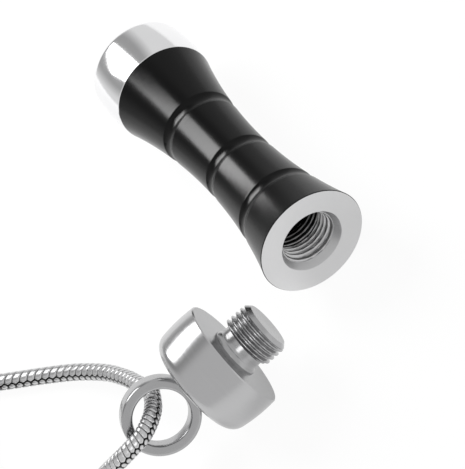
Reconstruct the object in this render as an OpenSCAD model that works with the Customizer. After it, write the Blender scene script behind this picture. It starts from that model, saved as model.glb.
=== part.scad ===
// Screw-top capsule pendant, opened, on a snake chain.
// Lengths are in millimetres, +Z is up, and z = 0 is the table that everything lies on.

/* [Barrel] */
// Radius shared by the mouth and the end plug, on which the barrel lies
rim_r = 6; // [5.6:0.1:8]
// Length of the black barrel, from the mouth to the end plug
barrel_l = 30.7; // [28:0.1:40]
// Outer radius at the waist
waist_r = 4; // [3.8:0.05:4.6]
// Distance of the waist from the mouth
waist_at = 15.8; // [14:0.1:18]
// Chamfer on the outer edge of the mouth
mouth_chamfer = 0.05; // [0.02:0.01:0.3]
// Radius of the arc of the shallow decorative grooves
groove_r = 1.6; // [0.8:0.1:2]
// Depth of the grooves
groove_d = 0.2; // [0.1:0.02:0.3]
// Distances of the grooves from the end plug
groove_at = [8.5, 16.8, 24.6]; // [6:0.1:26]

/* [Layout] */
// Distance along the table from the cap's face to the barrel's axis
apart = 13.47; // [13.3:0.01:18]

/* [Chamber and thread] */
// Radius of the plain wall that carries the thread
bore_r = 2.9; // [2.75:0.05:3]
// Length of the wall that carries the thread
bore_l = 4.8; // [4.2:0.1:7]
// Radius of the keepsake chamber behind the thread
chamber_r = 3.1; // [3:0.05:3.2]
// Radius of the mouth's tapered lead-in at the face
lead_in_r = 3.5; // [3.3:0.05:4]
// Depth of the lead-in, which narrows to the chamber's radius
lead_in_l = 0.8; // [0.6:0.05:2]
// Gap between the stud and its bore
stud_clearance = 0.05; // [0.02:0.01:0.1]

/* [End plug] */
// Distance of the plug's fullest place from the barrel
plug_full_at = 3; // [1:0.1:4]
// Radius of the arc that the plug's side follows
plug_side_r = 25; // [17:0.5:40]
// Radius of the plug's rounded shoulder
plug_shoulder_r = 1.3; // [1:0.1:2]
// Distance of the shoulder's middle from the barrel
plug_shoulder_at = 5.2; // [4.4:0.1:6]
// Radius of the plug's domed end
plug_dome_r = 30; // [16:0.5:40]
// Radius of the spigot pressed into the barrel
spigot_r = 4; // [3.4:0.1:4.3]
// Length of the spigot
spigot_l = 2.8; // [2:0.1:4]

/* [Cap] */
// Radius of the cap at its fullest, on which it lies
cap_r = 6.28; // [6:0.02:8]
// Distance of the fullest place from the face
cap_full_at = 1.6; // [1:0.1:2.4]
// Radius of the arc that the side follows
cap_side_r = 17; // [12:0.5:30]
// Radius of the rounded shoulder
cap_shoulder_r = 1.5; // [1:0.1:2]
// Distance of the shoulder's middle from the face
cap_shoulder_at = 4; // [3.8:0.05:5]
// Radius of the domed crown
cap_dome_r = 30; // [16:0.5:40]
// Chamfer on the edge of the face
cap_chamfer = 0.12; // [0.05:0.01:0.3]

/* [Stud] */
// Length of the stud outside the cap
stud_l = 4.5; // [4:0.1:5]
// Radius of the collar on the face
collar_r = 2.75; // [2.7:0.05:3.2]
// Height of the collar
collar_h = 0.45; // [0.2:0.05:0.7]
// Radius of the plain neck
neck_r = 2.45; // [2.2:0.05:2.6]
// Length of the neck
neck_l = 1.1; // [0.8:0.1:1.5]
// Chamfer at the tip
tip_chamfer = 0.45; // [0.2:0.05:0.6]
// Radius of the shank pressed into the cap
shank_r = 2.2; // [1.6:0.1:2.4]
// Length of the shank
shank_l = 3.2; // [2:0.1:4]

/* [Chain ring] */
// Outer radius of the ring
ring_r = 4.15; // [3.6:0.05:5]
// Radius of the hole
ring_hole_r = 2.95; // [2.6:0.05:3.3]
// Thickness along the hole
ring_t = 2.2; // [1.4:0.1:2.4]
// Rounding of the ring's edges
ring_round = 0.3; // [0.1:0.05:0.5]
// How far the ring is let into the crown where it is soldered
ring_sink = 0.17; // [0.1:0.01:0.4]
// Distance of the ring's middle from the cap's axis
ring_off = 0.27; // [0:0.01:0.4]
// Turn of the ring about the cap's axis, degrees
ring_roll = 62; // [50:1:75]
// Turn of the ring off the cap's axis, degrees
ring_yaw = 8; // [0:1:10]

/* [Chain] */
// Diameter of the snake chain
chain_d = 1.9; // [1.5:0.1:1.9]
// Radius at which the chain enters the coil
coil_r = 12.9; // [12.5:0.1:14]
// Turns that spiral in, and again turns that spiral out
coil_turns = 3.015; // [2.015:1:3.015]
// Distance between turns that lie side by side
coil_pitch = 2.4; // [2.35:0.05:2.5]
// Height between the two layers
coil_rise = 2.55; // [2.5:0.05:2.8]
// Extra outward step of the last stretch, which comes down to the table
coil_tail_step = 2.9; // [2.8:0.1:3.3]
// Thickness of the tie round the coil
tie_t = 0.3; // [0.2:0.05:0.35]
// Width of the tie
tie_w = 2.2; // [1.5:0.1:4]

/* [Chain ends] */
// Radius of the cup on each end of the chain, which lies on the table
cup_r = 1.4; // [1.35:0.05:1.6]
// Depth to which the chain is held in the cup
cup_grip = 2; // [1.5:0.1:2.4]
// Thickness of the cup's floor
cup_floor = 1; // [0.6:0.1:1.5]
// Middle radius of the loop on the cup
loop_r = 0.92; // [0.9:0.01:0.94]
// Radius of the loop's wire
loop_wire_r = 0.28; // [0.24:0.01:0.3]
// Middle radius of the ring on the tail end
tail_ring_r = 2; // [1.6:0.1:3]
// Radius of the tail ring's wire
tail_wire_r = 0.4; // [0.3:0.02:0.42]

/* [Clasp] */
// Middle radius of the clasp's eye
eye_r = 1.1; // [1.05:0.05:1.3]
// Radius of the eye's wire
eye_wire_r = 0.4; // [0.3:0.02:0.42]
// Radius of the boss that holds the lever
boss_r = 2; // [1.9:0.05:2.2]
// Thickness of the boss
boss_t = 2.4; // [2.1:0.1:2.5]
// Rounding of the boss
boss_round = 0.5; // [0.2:0.1:0.6]
// Distance from the eye's centre to the boss's centre
boss_x = 2.9; // [2.8:0.1:3.1]
// Middle radius of the hook
hook_r = 2.55; // [2.5:0.05:2.7]
// Radius of the hook's section
hook_wire_r = 0.62; // [0.55:0.01:0.68]
// Distance from the boss's centre to the hook's centre
hook_x = 3.4; // [3.3:0.05:3.5]
// Radius of the lever's arm
lever_wire_r = 0.5; // [0.4:0.02:0.54]
// Thickness of the lever's hub
hub_t = 1; // [0.8:0.05:1.1]
// Radius of the hub
hub_r = 0.75; // [0.65:0.05:0.8]
// Gap on each side of the hub in its slot
slot_gap = 0.1; // [0.05:0.01:0.15]
// Distance of the lever's pin from the boss's centre, along the clasp
pivot_along = 0.7; // [0.5:0.05:0.8]
// Distance of the lever's pin from the boss's centre, across the clasp
pivot_across = 1; // [0.9:0.05:1.05]
// Gap between the lever's tip and the hook's nose
nose_gap = 0.1; // [0.06:0.02:0.2]
// Radius of the hinge pin
pin_r = 0.3; // [0.2:0.02:0.35]
// Gap between the pin and the lever
pin_gap = 0.04; // [0.02:0.01:0.06]
// Thickness of the spring strip bent round the hub
spring_t = 0.15; // [0.1:0.01:0.18]

/* [Hidden] */
$fn = 72;

// Places on the table: the middle of the mouth, the middle of the cap's face and the way the stud points
face_at = [17.07, -2.82];
mouth_at = [14.2, face_at.y + apart];
cap_turn = 82.1;

// Small overlap that lets one cut run past another
eps = 0.01;

// The waist is one arc through the edge of the mouth
waist_arc_r = (waist_at * waist_at + (rim_r - waist_r) * (rim_r - waist_r)) / (2 * (rim_r - waist_r));
function barrel_radius(back) =
    waist_r + waist_arc_r - sqrt(waist_arc_r * waist_arc_r - (back - waist_at) * (back - waist_at));

// Plug and cap have one form: the shoulder touches the side's arc, and the dome touches the shoulder.
// A form lists its full radius and place, side arc, shoulder radius and place, and dome radius
plug_form = [rim_r, plug_full_at, plug_side_r, plug_shoulder_r, plug_shoulder_at, plug_dome_r];
cap_form = [cap_r, cap_full_at, cap_side_r, cap_shoulder_r, cap_shoulder_at, cap_dome_r];
function shoulder_in(form) =
    form[0] - form[2] + sqrt(pow(form[2] - form[3], 2) - pow(form[4] - form[1], 2));
function dome_z(form) = sqrt(pow(form[5] - form[3], 2) - pow(shoulder_in(form), 2)) - form[4];
function domed_h(form) = form[5] - dome_z(form);
cap_h = domed_h(cap_form);
cap_edge_r = cap_r - cap_side_r + sqrt(cap_side_r * cap_side_r - cap_full_at * cap_full_at);

stud_r = bore_r - stud_clearance;
ring_back = cap_h + ring_r - ring_sink;
chain_r = chain_d / 2;
coil_z = cup_r;
arc_sides = 360;
chain_sides = 8;
coil_sides = 6;
coil_rings = 24;

// The coil lies past the left edge of the picture; the chain enters it at 135 degrees, anticlockwise
coil_at = [-11.6, -44.4];
coil_from = 135;
tail_turns = 0.345;
coil_end_turns = 2 * coil_turns + tail_turns;
coil_lead = chain_d;
coil_straight = cup_grip + chain_r;

// The chain's middle line in the hole of the ring, where its two runs meet
chain_meet = [14.9, -12.4, 7.4];
left_route = [
    chain_meet, [13.7, -12, 7], [12.2, -11.8, 6.4], [10.7, -12.1, 5.9], [8.9, -12.6, 5.2],
    [6.9, -13.1, 4.4], [5.1, -13.7, 3.7], [3.4, -14.3, 3], [1.5, -15.2, 2.4], [-0.1, -16.1, 1.9],
    [-1.8, -17.2, 1.5], [-3.3, -18.3, 1.2], [-4.9, -19.7, 1.05], [-6.4, -21.1, 0.95], [-7.9, -22.6, 0.95],
    [-9.5, -24.2, 0.95], [-12.2, -26.8, 1], [-15, -29.6, 1.15], [-17.4, -32, 1.35]
];
front_route = [
    chain_meet, [15.9, -13, 7.8], [16.6, -13.8, 8], [17.3, -15.3, 8.2], [17.3, -16.6, 8.2],
    [17.1, -17.8, 8], [16.5, -19, 7.4], [15.6, -20.2, 6.5], [14.3, -21.4, 5.1], [12.8, -22.6, 3.5],
    [11.5, -23.8, 2.3], [10.5, -25.1, 1.6], [9.8, -26.6, 1.15], [9.5, -28.3, 0.95], [9.4, -30.2, 0.95],
    [9.4, -32.4, 1.05], [9.4, -34.6, 1.25]
];
tail_at = [9.4, -39, coil_z];

up_way = [0, 0, 1];
function unit(v) = v / norm(v);
function smooth(x) = let (t = max(0, min(1, x))) t * t * (3 - 2 * t);

// Coil: radius and height of the chain's middle after a number of turns
function coil_radius(turn) =
    let (past_end = max(0, turn - 2 * coil_turns))
    coil_r - coil_pitch * (coil_turns - abs(turn - coil_turns))
    + coil_tail_step * smooth(past_end / tail_turns);
function coil_height(turn) =
    coil_z + coil_rise * (smooth((turn - coil_turns + 0.25) / 0.5)
                          - smooth((turn - 2 * coil_turns) / tail_turns));
function coil_point(turn) =
    let (a = coil_from + 360 * turn)
    [coil_at.x + coil_radius(turn) * cos(a), coil_at.y + coil_radius(turn) * sin(a), coil_height(turn)];
coil_steps = round(coil_end_turns * coil_rings);
coil_turn_points = [for (i = [0:coil_steps]) coil_point(coil_end_turns * i / coil_steps)];
coil_in_way = [-sin(coil_from), cos(coil_from), 0];
coil_out_turn = coil_from + 360 * coil_end_turns + 90;
coil_out_way = [cos(coil_out_turn), sin(coil_out_turn), 0];
coil_start = coil_point(0) - coil_lead * coil_in_way;
coil_end = coil_point(coil_end_turns) + coil_straight * coil_out_way;
coil_points = concat([coil_start], coil_turn_points, [coil_end]);

// Least gap of the coil to itself, from each point to the stretches that are not its neighbours
function to_stretch(p, a, b) =
    let (t = max(0, min(1, (p - a) * (b - a) / ((b - a) * (b - a))))) norm(p - a - t * (b - a));
function coil_gap() =
    min([for (i = [0:coil_steps], j = [i + 4:coil_steps - 1])
        to_stretch(coil_turn_points[i], coil_turn_points[j], coil_turn_points[j + 1])]) - chain_d;
echo(coil_least_gap = coil_gap());

function path_length(p) = [for (i = [1:len(p) - 1]) norm(p[i] - p[i - 1])] * [for (i = [1:len(p) - 1]) 1];
left_points = concat(left_route, [coil_start]);
tail_way = [0, -1, 0];
meet_way = unit(front_route[1] - left_route[1]);
front_points = concat(front_route, [tail_at - coil_straight * tail_way, tail_at]);
echo(chain_length = path_length(left_points) + path_length(front_points) + path_length(coil_points));

// Clasp layout, measured from the middle of the eye along the clasp
loop_x = cup_floor + loop_r - loop_wire_r / 2;
link_play = 0.08;
function next_link(link_r, wire_r) = loop_x + loop_r - loop_wire_r - wire_r - link_play + link_r;
hook_at = [boss_x + hook_x, 0];
hook_root = 150;
hook_nose = -100;
nose_drop = 0.5;
pivot_at = [boss_x + pivot_along, -pivot_across];
lever_from = -158;
lever_tip = -72;
lever_trim = 15;
tip_at = hook_at + hook_r * [cos(lever_tip), sin(lever_tip)];
tip_reach = norm(tip_at - pivot_at);
slot_t = hub_t + 2 * slot_gap;
spring_gap = 0.2;
spring_r = hub_r + spring_gap;
spring_from = 2;
spring_sweep = 110;
slot_top = spring_r + spring_t + slot_gap;
tab_r = 0.5;
tab_along = 0.2;
tab_reach = 0.75;
tab_at = [boss_x + tab_along, -boss_r - tab_reach];

// A round tube along a path, with its end faces square to the ways given: rings of points, triangles between
module tube(path, r, sides, first_way, last_way) {
    last = len(path) - 1;
    ways = [for (i = [0:last]) i == 0 ? first_way : i == last ? last_way : unit(path[i + 1] - path[i - 1])];
    points = [for (i = [0:last])
        let (side = unit(cross(ways[i], up_way)), up = cross(side, ways[i]))
        for (k = [0:sides - 1]) path[i] + r * (cos(360 * k / sides) * side + sin(360 * k / sides) * up)];
    walls = [for (i = [0:last - 1], k = [0:sides - 1])
        let (a = i * sides + k, b = i * sides + (k + 1) % sides)
        each [[a, a + sides, b], [b, a + sides, b + sides]]];
    first_end = [for (k = [1:sides - 2]) [0, k, k + 1]];
    last_end = [for (k = [1:sides - 2]) [last * sides, last * sides + k + 1, last * sides + k]];
    polyhedron(points, concat(walls, first_end, last_end));
}

module torus(r, wire_r) {
    rotate_extrude() translate([r, 0]) circle(wire_r);
}

// Outline that takes a chamfer of this size off a square corner
module corner_cut(size) {
    polygon([[-size, 0], [0, -size], [size, 0], [0, size]]);
}

// Frames: a turned piece stands on its own Z, which is laid along the piece's axis
module on_barrel() {
    translate([mouth_at.x, mouth_at.y, rim_r]) rotate([0, 90, 0]) children();
}
module on_cap() {
    translate([face_at.x, face_at.y, cap_r]) rotate([0, 0, cap_turn]) children();
}
module on_clasp_end() {
    translate(coil_end) rotate([0, 0, coil_out_turn]) children();
}
module on_tail_end() {
    translate(tail_at) rotate([0, 0, -90]) children();
}
module on_clasp() {
    on_clasp_end() translate([next_link(eye_r, eye_wire_r), 0, 0]) children();
}

// Black waisted barrel, mouth at the top of its own Z
module barrel_outline() {
    difference() {
        translate([0, -barrel_l]) square([rim_r, barrel_l]);
        translate([waist_r + waist_arc_r, -waist_at]) circle(waist_arc_r, $fn = arc_sides);
        translate([rim_r, 0]) corner_cut(mouth_chamfer);
        for (place = groove_at) {
            back = barrel_l - place;
            translate([barrel_radius(back) + groove_r - groove_d, -back]) circle(groove_r);
        }
        translate([0, -barrel_l]) square([bore_r, barrel_l + eps]);
        translate([0, -barrel_l]) square([chamber_r, barrel_l - lead_in_l - bore_l]);
        polygon([[0, -lead_in_l], [chamber_r, -lead_in_l], [lead_in_r, 0], [lead_in_r, eps], [0, eps]]);
        translate([0, -barrel_l - eps]) square([spigot_r, spigot_l + eps]);
    }
}
module barrel() {
    color("#1c1c1e") on_barrel() rotate_extrude() barrel_outline();
}

// Turned end with a full side, a round shoulder and a shallow dome, each tangent to the next
module domed_outline(form) {
    shoulder_mid = [shoulder_in(form), -form[4]];
    side_mid = [form[0] - form[2], -form[1]];
    side_way = unit(shoulder_mid - side_mid);
    dome_way = unit(shoulder_mid - [0, dome_z(form)]);
    reach = 2 * form[3];
    intersection() {
        translate([0, dome_z(form)]) circle(form[5], $fn = arc_sides);
        translate(side_mid) circle(form[2], $fn = arc_sides);
        union() {
            polygon([[0, 0], [form[0] + reach, 0], shoulder_mid + reach * side_way, shoulder_mid,
                     shoulder_mid + reach * dome_way, [0, -domed_h(form) - reach]]);
            translate(shoulder_mid) circle(form[3]);
        }
    }
}

// Polished plug that closes the barrel
module end_plug_outline() {
    translate([0, -barrel_l]) {
        square([spigot_r, spigot_l]);
        domed_outline(plug_form);
    }
}
module end_plug() {
    color("#e6e6e8") on_barrel() rotate_extrude() end_plug_outline();
}

// Domed cap with a chamfer on the edge of its face
module cap_outline() {
    difference() {
        domed_outline(cap_form);
        translate([cap_edge_r, 0]) corner_cut(cap_chamfer);
    }
}
module cap_solid() {
    rotate([0, 90, 0]) rotate_extrude() cap_outline();
}
module screw_cap() {
    color("#b4b4b6") on_cap() difference() {
        cap_solid();
        rotate([0, 90, 0]) translate([0, 0, -shank_l]) cylinder(h = shank_l + eps, r = shank_r);
    }
}

// Stud: collar on the face, plain neck, threaded length and chamfered tip
module stud_outline() {
    translate([0, -shank_l]) square([shank_r, shank_l + collar_h]);
    square([collar_r, collar_h]);
    square([neck_r, stud_l - tip_chamfer]);
    translate([0, collar_h + neck_l]) square([stud_r, stud_l - tip_chamfer - collar_h - neck_l]);
    polygon([[0, stud_l - tip_chamfer], [stud_r, stud_l - tip_chamfer],
             [stud_r - tip_chamfer, stud_l], [0, stud_l]]);
}
module threaded_stud() {
    color("#c8c8ca") on_cap() rotate([0, 90, 0]) rotate_extrude() stud_outline();
}

// Flat ring soldered to the crown, coped to fit it
module ring_outline() {
    translate([ring_hole_r, -ring_t / 2 + ring_round]) square([ring_r - ring_hole_r, ring_t - 2 * ring_round]);
    translate([ring_hole_r + ring_round, -ring_t / 2]) square([ring_r - ring_hole_r - 2 * ring_round, ring_t]);
    for (x = [ring_hole_r + ring_round, ring_r - ring_round], y = [-1, 1]) {
        translate([x, y * (ring_t / 2 - ring_round)]) circle(ring_round);
    }
}
module chain_ring() {
    color("#a8a8aa") on_cap() difference() {
        translate([-ring_back, 0, 0]) rotate([ring_roll, 0, 0]) translate([0, ring_off, 0])
            rotate([0, ring_yaw, 0]) rotate_extrude() ring_outline();
        cap_solid();
    }
}

module chain_left_run() {
    color("#d0d0d2") tube(left_points, chain_r, chain_sides, -meet_way, coil_in_way);
}
module chain_front_run() {
    color("#d0d0d2") tube(front_points, chain_r, chain_sides, meet_way, tail_way);
}
module chain_coil() {
    color("#d0d0d2") tube(coil_points, chain_r, coil_sides, coil_in_way, coil_out_way);
}

// Tie: a flat band round the bundle of turns, on the side away from the clasp
tie_angle = 20;
tie_gap = 0.1;
tie_first = (tie_angle - coil_from + 360) / 360;
tie_radii = [for (turn = [tie_first:1:2 * coil_turns]) coil_radius(turn)];
bundle_in = min(tie_radii) - chain_r - tie_gap;
bundle_out = max(tie_radii) + chain_r + tie_gap;
bundle_low = coil_z - chain_r - tie_gap;
bundle_high = coil_z + coil_rise + chain_r + tie_gap;
module tie_outline(grow) {
    translate([bundle_in - grow, bundle_low - grow])
        square([bundle_out - bundle_in + 2 * grow, bundle_high - bundle_low + 2 * grow]);
}
module coil_tie() {
    color("#303032") translate(coil_at) rotate([90, 0, tie_angle]) linear_extrude(tie_w, center = true)
        difference() {
            tie_outline(tie_t);
            tie_outline(0);
        }
}

// Cup on the end of the chain, with a loop standing on edge
module chain_end_cap() {
    difference() {
        translate([-cup_grip, 0, 0]) rotate([0, 90, 0]) cylinder(h = cup_grip + cup_floor, r = cup_r);
        translate([-cup_grip - eps, 0, 0]) rotate([0, 90, 0]) cylinder(h = cup_grip + eps, r = chain_r);
    }
    translate([loop_x, 0, 0]) rotate([90, 0, 0]) torus(loop_r, loop_wire_r);
}
module clasp_end_cap() {
    color("#c0c0c2") on_clasp_end() chain_end_cap();
}
module tail_end_cap() {
    color("#c0c0c2") on_tail_end() chain_end_cap();
}

// Ring on the tail, tipped down until its far side touches the table
tail_drop = asin((coil_z - tail_wire_r) / (2 * tail_ring_r));
module tail_ring() {
    color("#c0c0c2") on_tail_end() translate([next_link(0, tail_wire_r), 0, 0])
        rotate([0, tail_drop, 0]) translate([tail_ring_r, 0, 0]) torus(tail_ring_r, tail_wire_r);
}

// Lobster clasp lying flat: eye, boss with its slot, and the hook
module boss() {
    translate([boss_x, 0, 0]) rotate_extrude() {
        translate([0, -boss_t / 2 + boss_round]) square([boss_r, boss_t - 2 * boss_round]);
        translate([0, -boss_t / 2]) square([boss_r - boss_round, boss_t]);
        for (y = [-1, 1]) {
            translate([boss_r - boss_round, y * (boss_t / 2 - boss_round)]) circle(boss_round);
        }
    }
}
module round_arm(from, to, wire_r) {
    translate(hook_at) rotate([0, 0, from]) rotate_extrude(angle = to - from)
        translate([hook_r, 0]) circle(wire_r);
}
module clasp_body() {
    color("#bcbcbe") on_clasp() difference() {
        union() {
            torus(eye_r, eye_wire_r);
            difference() {
                boss();
                cylinder(h = boss_t, r = eye_r, center = true);
            }
            round_arm(hook_nose, hook_root, hook_wire_r);
        }
        // Nose, cut round the lever's pivot
        intersection() {
            translate(pivot_at) cylinder(h = boss_t, r = tip_reach + nose_gap, center = true);
            translate([boss_x + boss_r, -2 * hook_r, -boss_t]) cube([2 * hook_x, 2 * hook_r - nose_drop, 2 * boss_t]);
        }
        // Slot for the lever and its spring
        translate([boss_x - boss_r / 2, -3 * boss_r, -slot_t / 2])
            cube([3 * boss_r, 3 * boss_r + pivot_at.y + slot_top, slot_t]);
        translate(pivot_at) cylinder(h = 2 * boss_t, r = pin_r, center = true);
    }
}

// Sprung lever: hub on the pin, arm that closes the hook, thumb tab
module clasp_lever() {
    color("#c6c6c8") on_clasp() difference() {
        union() {
            translate(pivot_at) cylinder(h = hub_t, r = hub_r, center = true);
            intersection() {
                round_arm(lever_from, lever_tip + lever_trim, lever_wire_r);
                translate(pivot_at) cylinder(h = 2 * hub_t, r = tip_reach, center = true);
            }
            translate(tab_at) cylinder(h = hub_t, r = tab_r, center = true);
            translate(tab_at) rotate([0, 0, atan2(pivot_at.y - tab_at.y, pivot_at.x - tab_at.x)])
                translate([0, -tab_r, -hub_t / 2]) cube([norm(pivot_at - tab_at), 2 * tab_r, hub_t]);
        }
        translate(pivot_at) cylinder(h = 2 * hub_t, r = pin_r + pin_gap, center = true);
    }
}
module clasp_pin() {
    color("#9a9a9c") on_clasp() translate(pivot_at) cylinder(h = boss_t, r = pin_r, center = true);
}
module clasp_spring() {
    color("#8e8e90") on_clasp() translate(pivot_at) rotate([0, 0, spring_from])
        translate([0, 0, -hub_t / 2]) rotate_extrude(angle = spring_sweep)
            translate([spring_r, 0]) square([spring_t, hub_t]);
}

barrel();
end_plug();
screw_cap();
threaded_stud();
chain_ring();
chain_left_run();
chain_front_run();
chain_coil();
coil_tie();
clasp_end_cap();
tail_end_cap();
tail_ring();
clasp_body();
clasp_lever();
clasp_pin();
clasp_spring();
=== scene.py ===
import bmesh
import bpy
import numpy as np
from mathutils import Matrix, Vector


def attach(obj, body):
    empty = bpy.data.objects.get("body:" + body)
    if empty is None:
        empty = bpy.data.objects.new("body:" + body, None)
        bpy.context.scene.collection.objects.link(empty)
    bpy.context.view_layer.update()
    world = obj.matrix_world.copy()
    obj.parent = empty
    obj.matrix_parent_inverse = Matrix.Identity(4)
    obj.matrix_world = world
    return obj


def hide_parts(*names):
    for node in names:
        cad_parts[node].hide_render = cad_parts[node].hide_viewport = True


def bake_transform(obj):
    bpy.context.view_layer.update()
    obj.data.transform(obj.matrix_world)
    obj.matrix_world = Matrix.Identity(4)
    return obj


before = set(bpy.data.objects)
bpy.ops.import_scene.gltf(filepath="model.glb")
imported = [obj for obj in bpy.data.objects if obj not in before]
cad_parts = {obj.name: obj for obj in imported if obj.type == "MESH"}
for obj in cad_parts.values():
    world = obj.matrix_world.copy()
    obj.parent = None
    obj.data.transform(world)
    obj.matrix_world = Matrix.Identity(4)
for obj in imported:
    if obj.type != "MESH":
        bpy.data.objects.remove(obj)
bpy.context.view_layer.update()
scene = bpy.context.scene
scene.view_settings.view_transform = "Standard"
mm = 0.001
print("frame loaded:", len(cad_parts), "nodes")

# camera, solved from the ellipses in the photograph
photoView = {
    "place": (191.614, 23.243, 199.461),  # mm
    "right": (0.498305, 0.676334, -0.542462),
    "up": (-0.522339, 0.733570, 0.434784),
    "back": (0.691993, 0.066694, 0.718817),
    "lens": 200.0,
    "sensor": 36.0,
    "clip": (0.01, 20.0),  # m
}


# the camera's turn has its right, up and back ways as columns
def setCamera(look):
    data = bpy.data.cameras.new("photoCamera")
    data.lens = look["lens"]
    data.sensor_fit = "VERTICAL"
    data.sensor_height = look["sensor"]
    data.clip_start, data.clip_end = look["clip"]
    camera = bpy.data.objects.new("photoCamera", data)
    turn = Matrix((look["right"], look["up"], look["back"])).transposed().to_4x4()
    camera.matrix_world = Matrix.Translation(Vector(look["place"]) * mm) @ turn
    scene.collection.objects.link(camera)
    scene.camera = camera


setCamera(photoView)
print("camera set")


# a new material with its node tree and its shader
def newMaterial(name):
    material = bpy.data.materials.new(name)
    material.use_nodes = True
    tree = material.node_tree
    return material, tree, tree.nodes["Principled BSDF"]


# a node with its values set: a name that is a socket fills that socket, any other is a setting of the node
def addNode(tree, kind, **values):
    node = tree.nodes.new(kind)
    for key, value in values.items():
        if key in node.inputs:
            node.inputs[key].default_value = value
        else:
            setattr(node, key, value)
    return node


# one sum on numbers or outputs: first, operation, second, and for multiply and add also a third
def mathNode(tree, operation, first, second=None, third=None):
    node = tree.nodes.new("ShaderNodeMath")
    node.operation = operation
    for socket, value in zip(node.inputs, (first, second, third)):
        if value is None:
            continue
        if isinstance(value, (int, float)):
            socket.default_value = value
        else:
            tree.links.new(value, socket)
    return node.outputs[0]


# a value between fromLow and fromHigh carried evenly to low and high
def spread(tree, value, low, high, fromLow=0.0, fromHigh=1.0):
    node = addNode(tree, "ShaderNodeMapRange")
    tree.links.new(value, node.inputs["Value"])
    node.inputs["From Min"].default_value = fromLow
    node.inputs["From Max"].default_value = fromHigh
    node.inputs["To Min"].default_value = low
    node.inputs["To Max"].default_value = high
    return node.outputs["Result"]


# soft noise on the object's own coordinates
def cloudNode(tree, scale, detail):
    place = addNode(tree, "ShaderNodeTexCoord")
    cloud = addNode(tree, "ShaderNodeTexNoise", Scale=scale, Detail=detail)
    tree.links.new(place.outputs["Object"], cloud.inputs["Vector"])
    return cloud.outputs["Fac"]


# first colour where share is 0, second where it is 1; each is three numbers or another node's colour
def mixColours(tree, share, first, second):
    mix = addNode(tree, "ShaderNodeMix", data_type="RGBA")
    for socket, colour in (("A", first), ("B", second)):
        if isinstance(colour, tuple):
            mix.inputs[socket].default_value = (*colour, 1.0)
        else:
            tree.links.new(colour, mix.inputs[socket])
    tree.links.new(share, mix.inputs["Factor"])
    return mix.outputs["Result"]


# colour, roughness spread by grain, and bump raised by height
def finishShader(tree, shader, look, colour, grain, height):
    tree.links.new(colour, shader.inputs["Base Color"])
    tree.links.new(spread(tree, grain, *look["roughness"]), shader.inputs["Roughness"])
    bump = addNode(tree, "ShaderNodeBump", Strength=look["bump"], Distance=look["bumpDepth"])
    tree.links.new(height, bump.inputs["Height"])
    tree.links.new(bump.outputs["Normal"], shader.inputs["Normal"])


turning = {"markDetail": 4.0, "markRoughness": 0.6, "cloudDetail": 3.0, "markShare": 0.5}


# turned metal: UV is mm along the outline and turns round the axis, so stretched noise gives marks that run
# round the piece; marks and clouds mixed half and half choose the tone between dark and light
def turnedMetal(name, look):
    material, tree, shader = newMaterial(name)
    shader.inputs["Metallic"].default_value = look["metallic"]
    shader.inputs["Specular IOR Level"].default_value = look["specular"]
    uv = addNode(tree, "ShaderNodeUVMap", uv_map="outline")
    stretch = addNode(tree, "ShaderNodeMapping")
    stretch.inputs["Scale"].default_value = (look["marksPerMm"], look["marksRound"], 1.0)
    tree.links.new(uv.outputs["UV"], stretch.inputs["Vector"])
    noise = addNode(tree, "ShaderNodeTexNoise", Scale=1.0, Detail=turning["markDetail"],
                    Roughness=turning["markRoughness"])
    tree.links.new(stretch.outputs["Vector"], noise.inputs["Vector"])
    marks = noise.outputs["Fac"]
    cloud = cloudNode(tree, look["cloudScale"], turning["cloudDetail"])
    clouded = mathNode(tree, "MULTIPLY", cloud, 1.0 - turning["markShare"])
    mixed = mathNode(tree, "MULTIPLY_ADD", marks, turning["markShare"], clouded)
    colour = mixColours(tree, mixed, look["dark"], look["light"])
    # painted shade: the colour darkens to a dark tone further along the outline, standing in for the shade
    # deep in the mouth
    if "paintedShade" in look:  # darker further along the outline, from and to in mm
        along = addNode(tree, "ShaderNodeSeparateXYZ")
        tree.links.new(uv.outputs["UV"], along.inputs["Vector"])
        shadeShare = spread(tree, along.outputs["X"], 0.0, 1.0, *look["paintedShadeAt"])
        colour = mixColours(tree, shadeShare, colour, look["paintedShade"])
    finishShader(tree, shader, look, colour, marks, marks)
    return material


bareMetal = {"metallic": 1.0, "specular": 0.5, "bumpDepth": 0.00002}
satinBlack = turnedMetal("satinBlack", {
    "metallic": 0.0, "specular": 0.17, "roughness": (0.17, 0.25),
    "dark": (0.0003, 0.0003, 0.0003), "light": (0.0007, 0.0007, 0.0008),
    "marksPerMm": 12.0, "marksRound": 12.0, "cloudScale": 260.0, "bump": 0.20, "bumpDepth": 0.00003,
})
mirrorSteel = turnedMetal("mirrorSteel", {
    **bareMetal, "roughness": (0.11, 0.15), "dark": (0.80, 0.80, 0.81), "light": (0.86, 0.86, 0.865),
    "marksPerMm": 4.0, "marksRound": 1.0, "cloudScale": 200.0, "bump": 0.008,
})
cutSteel = turnedMetal("cutSteel", {
    **bareMetal, "roughness": (0.26, 0.36), "dark": (0.66, 0.66, 0.665), "light": (0.73, 0.73, 0.735),
    "marksPerMm": 14.0, "marksRound": 1.2, "cloudScale": 240.0, "bump": 0.08,
})
softSteel = turnedMetal("softSteel", {
    **bareMetal, "roughness": (0.19, 0.26), "dark": (0.45, 0.45, 0.455), "light": (0.52, 0.52, 0.525),
    "marksPerMm": 7.0, "marksRound": 1.0, "cloudScale": 220.0, "bump": 0.04,
})
ringSteel = turnedMetal("ringSteel", {
    **bareMetal, "roughness": (0.16, 0.24), "dark": (0.38, 0.38, 0.385), "light": (0.46, 0.46, 0.465),
    "marksPerMm": 5.0, "marksRound": 1.0, "cloudScale": 240.0, "bump": 0.05,
})
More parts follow.
